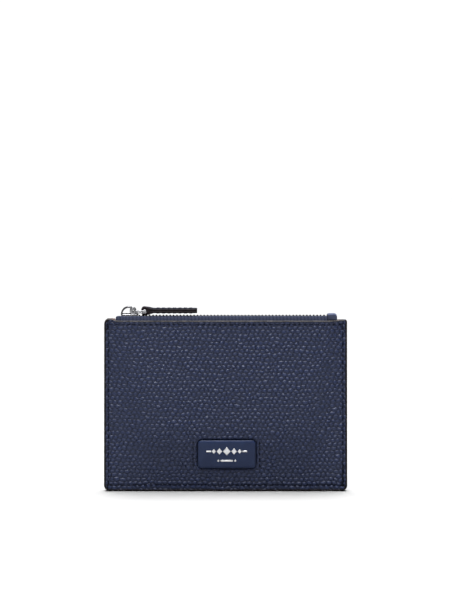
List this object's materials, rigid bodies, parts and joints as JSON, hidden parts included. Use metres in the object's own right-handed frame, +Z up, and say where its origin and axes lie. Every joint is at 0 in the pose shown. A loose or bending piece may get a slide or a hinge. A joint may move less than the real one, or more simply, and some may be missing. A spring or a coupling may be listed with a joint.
{
  "type": "zipped card holder",
  "caption": "Flat leather pouch with a metal zip along its mouth, a leather pull tab, a padded front label and stepped card slots on the back.",
  "frame": {"origin": "middle of the bottom edge, where the pouch stands, midway through its thickness", "axes": "+X along the zip from the closed slider towards the zip's far end, +Y from the front face to the back, +Z up from the bottom edge to the mouth"},
  "size_m": [0.13, 0.0106, 0.0992],
  "materials": {
    "grained_leather": "pebbled navy, matt",
    "core_leather": "dark edge paint",
    "lining_cloth": "plain-weave burgundy lining",
    "smooth_leather": "smooth navy",
    "foam": "soft foam",
    "foil": "silver foil",
    "thread": "twisted navy thread",
    "tape_cloth": "ribbed navy zip tape",
    "zip_metal": "polished silver",
    "strap_leather": "smooth navy with dark painted edges"
  },
  "bodies": {
    "pouch": {"front_panel": "grained_leather", "back_panel": "grained_leather", "edge_welt": "core_leather", "front_lining": "lining_cloth", "back_lining": "lining_cloth", "card_slot_upper": "grained_leather", "card_slot_middle": "grained_leather", "card_slot_lower": "grained_leather", "label_plaque": "smooth_leather", "label_filler": "foam", "label_tongues": "smooth_leather", "label_ornament": "foil", "label_stitching": "thread", "front_stitching": "thread", "back_stitching": "thread", "zip_tape_front": "tape_cloth", "zip_tape_back": "tape_cloth", "zip_teeth_front": "zip_metal", "zip_teeth_back": "zip_metal", "zip_top_stops": "zip_metal", "zip_bottom_stop": "zip_metal", "zip_end_tab": "strap_leather"},
    "slider": {"slider_body": "zip_metal", "slider_bridge": "zip_metal"},
    "link": {"pull_link": "zip_metal"},
    "tab": {"pull_tab": "strap_leather", "pull_tab_stitching": "thread"}
  },
  "joints": [
    {"name": "zip_slide", "type": "slide", "parent": "pouch", "child": "slider", "axis": [1, 0, 0], "range_m": [0, 0.093], "deforming": ["zip_teeth_front", "zip_teeth_back"]},
    {"name": "link_swing", "type": "hinge", "parent": "slider", "child": "link", "pos_m": [-0.0499, 0, 0.0971], "axis": [0, -1, 0], "range_deg": [0, 100]},
    {"name": "tab_swing", "type": "hinge", "parent": "link", "child": "tab", "pos_m": [-0.043, 0, 0.0965], "axis": [0, -1, 0], "range_deg": [0, 75]}
  ]
}
